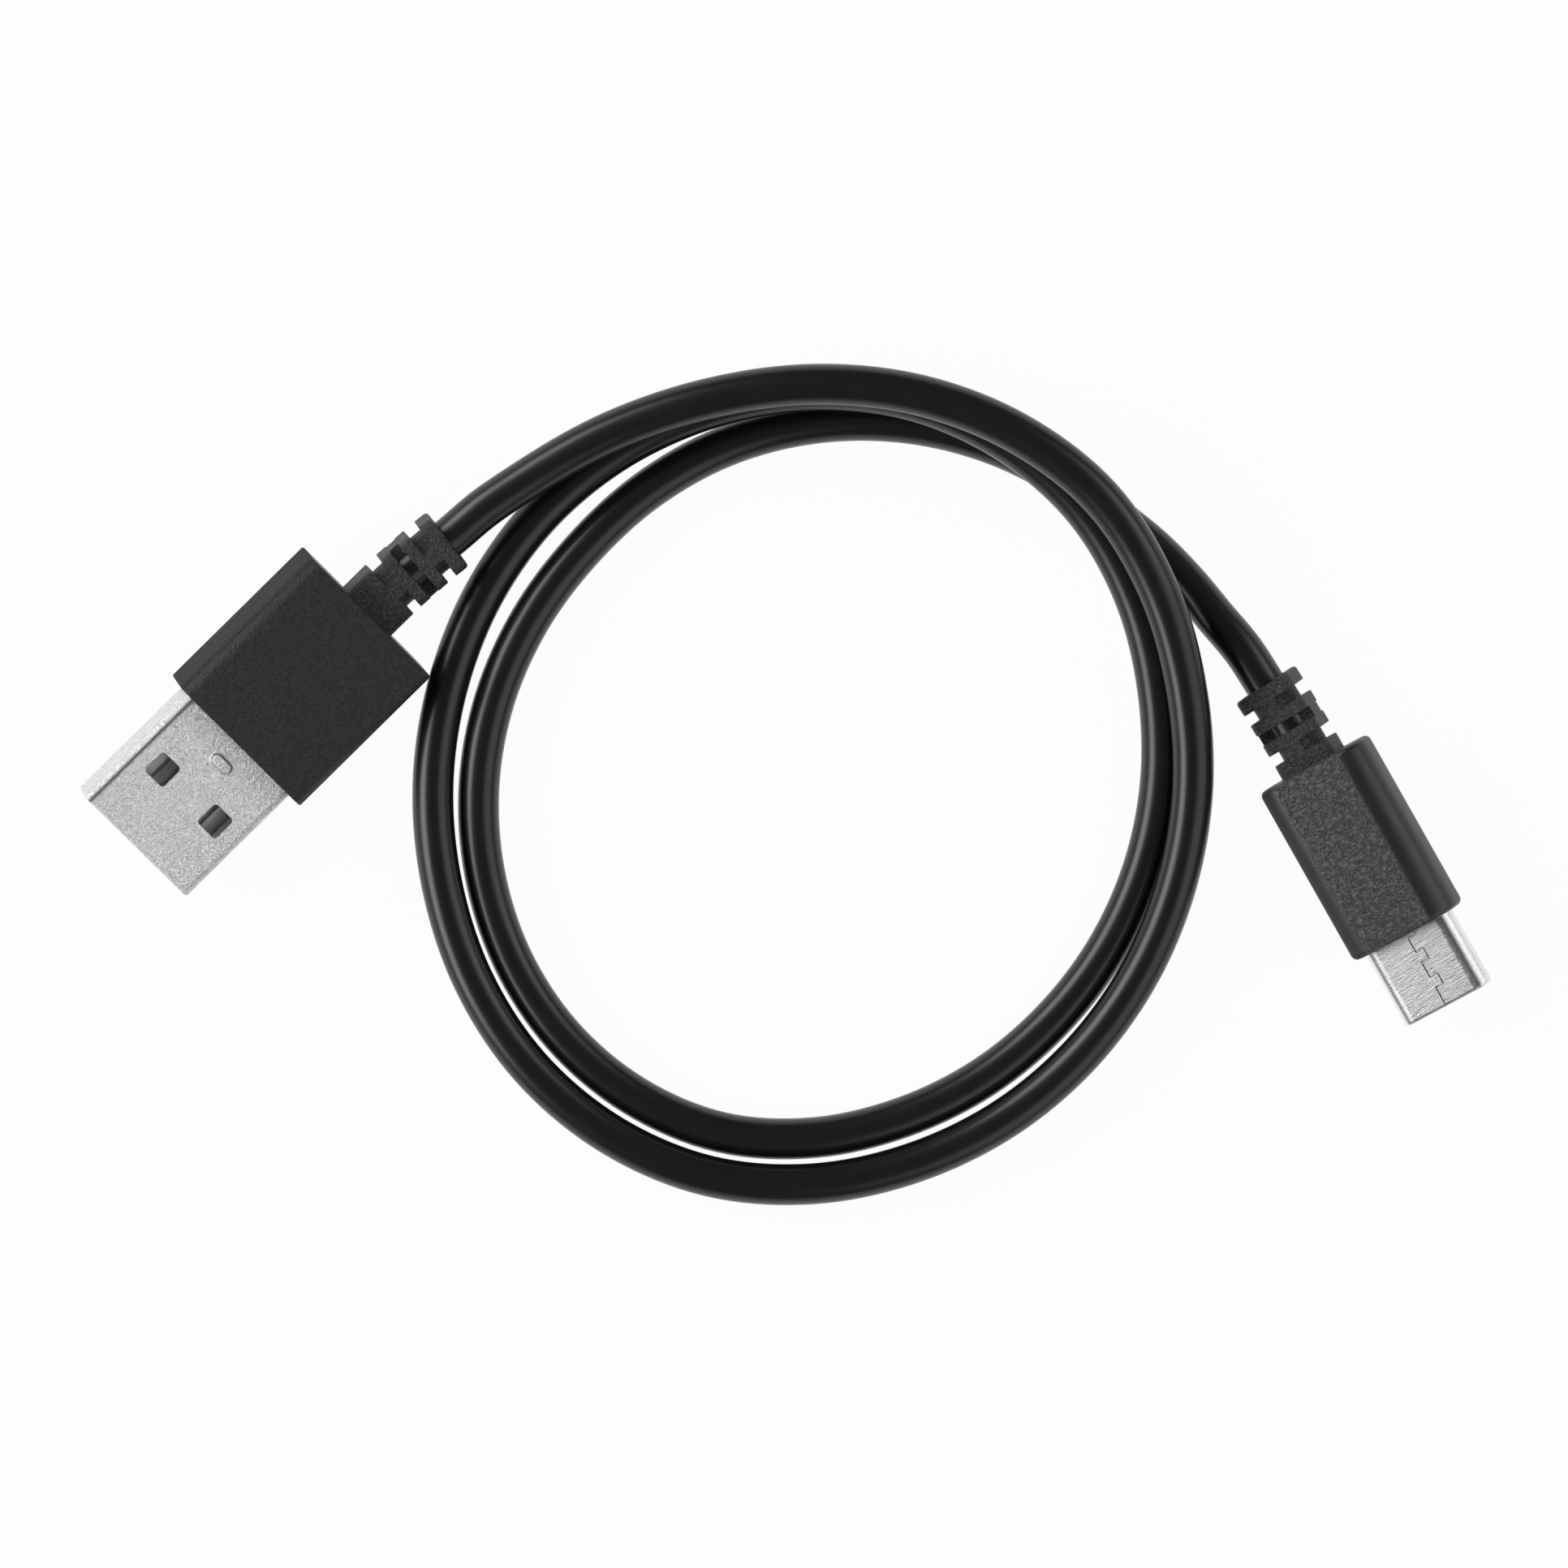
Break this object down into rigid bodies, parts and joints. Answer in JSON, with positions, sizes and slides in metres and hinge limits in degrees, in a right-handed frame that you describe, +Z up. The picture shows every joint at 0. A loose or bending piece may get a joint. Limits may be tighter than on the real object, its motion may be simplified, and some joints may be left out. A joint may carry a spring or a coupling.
{
  "type": "charging cable",
  "caption": "Short black charging cable with a wide flat plug and a slim oval plug, each on a notched strain relief, coiled flat on a table.",
  "frame": {"origin": "on the table, under the middle of the two plugs with their strain reliefs", "axes": "+Z up from the table, +X from the wide charger plug to the slim phone plug"},
  "size_m": [0.1161, 0.0686, 0.011],
  "materials": {
    "cord_jacket": "satin",
    "charger_plug_skin": "fine matt grain",
    "phone_plug_skin": "wrinkled matt grain",
    "plated_steel": "fine satin, nickel plated",
    "spring_steel": "bright rolled sheet",
    "nickel_plated_contact": "bright nickel on bronze",
    "gold_plated_contact": "gold flash, polished",
    "solder": "dull shine",
    "white_insulator": "moulded",
    "black_insulator": "moulded",
    "milky_mould": "cloudy",
    "board": "solder resist over glass fibre",
    "resistor": "satin",
    "red_insulation": "smooth",
    "black_insulation": "smooth",
    "white_insulation": "smooth",
    "green_insulation": "smooth"
  },
  "bodies": {
    "cord": {"cord_tail_charger_end": "cord_jacket", "cord_loops": "cord_jacket", "cord_tail_phone_end": "cord_jacket", "red_wire": "red_insulation", "black_wire": "black_insulation", "white_wire": "white_insulation", "green_wire": "green_insulation"},
    "charger_relief": {"charger_plug_strain_relief": "charger_plug_skin"},
    "charger_plug": {"charger_plug_grip": "charger_plug_skin", "charger_plug_inner_mould": "milky_mould", "charger_plug_rear_can": "plated_steel", "charger_plug_shell": "plated_steel", "charger_plug_tongue": "white_insulator", "charger_plug_power_contact": "nickel_plated_contact", "charger_plug_data_minus_contact": "nickel_plated_contact", "charger_plug_data_plus_contact": "nickel_plated_contact", "charger_plug_ground_contact": "nickel_plated_contact", "charger_plug_solder_joints": "solder", "charger_plug_jacket_end": "cord_jacket", "charger_plug_red_lead": "red_insulation", "charger_plug_black_lead": "black_insulation", "charger_plug_white_lead": "white_insulation", "charger_plug_green_lead": "green_insulation"},
    "phone_relief": {"phone_plug_strain_relief": "phone_plug_skin"},
    "phone_plug": {"phone_plug_grip": "phone_plug_skin", "phone_plug_inner_mould": "milky_mould", "phone_plug_rear_can": "plated_steel", "phone_plug_shell": "plated_steel", "phone_plug_housing": "black_insulator", "phone_plug_upper_contacts": "gold_plated_contact", "phone_plug_lower_contacts": "gold_plated_contact", "phone_plug_latch": "spring_steel", "phone_plug_ground_springs": "spring_steel", "phone_plug_board": "board", "phone_plug_resistor": "resistor", "phone_plug_solder_joints": "solder", "phone_plug_jacket_end": "cord_jacket", "phone_plug_red_lead": "red_insulation", "phone_plug_black_lead": "black_insulation", "phone_plug_white_lead": "white_insulation", "phone_plug_green_lead": "green_insulation"}
  },
  "joints": [
    {"name": "charger_plug_swing", "type": "hinge", "parent": "cord", "child": "charger_relief", "pos_m": [-0.02906, 0.01796, 0.00513], "axis": [0, 0, 1], "range_deg": [-40, 0], "stiffness_Nm_per_rad": 0.01, "deforming": ["charger_plug_strain_relief", "charger_plug_jacket_end", "charger_plug_red_lead", "charger_plug_black_lead", "charger_plug_white_lead", "charger_plug_green_lead"]},
    {"name": "charger_plug_lift", "type": "hinge", "parent": "charger_relief", "child": "charger_plug", "pos_m": [-0.03206, 0.01531, 0.00513], "axis": [-0.7022, 0.712, 0], "range_deg": [0, 45], "stiffness_Nm_per_rad": 0.01, "deforming": ["charger_plug_strain_relief", "charger_plug_jacket_end", "charger_plug_red_lead", "charger_plug_black_lead", "charger_plug_white_lead", "charger_plug_green_lead"]},
    {"name": "phone_plug_swing", "type": "hinge", "parent": "cord", "child": "phone_relief", "pos_m": [0.04061, 0.00563, 0.00385], "axis": [0, 0, 1], "range_deg": [-10, 40], "stiffness_Nm_per_rad": 0.01, "deforming": ["phone_plug_strain_relief", "phone_plug_jacket_end", "phone_plug_red_lead", "phone_plug_black_lead", "phone_plug_white_lead", "phone_plug_green_lead"]},
    {"name": "phone_plug_lift", "type": "hinge", "parent": "phone_relief", "child": "phone_plug", "pos_m": [0.04269, 0.00221, 0.00385], "axis": [-0.8704, -0.4924, 0], "range_deg": [0, 45], "stiffness_Nm_per_rad": 0.01, "deforming": ["phone_plug_strain_relief", "phone_plug_jacket_end", "phone_plug_red_lead", "phone_plug_black_lead", "phone_plug_white_lead", "phone_plug_green_lead"]}
  ]
}
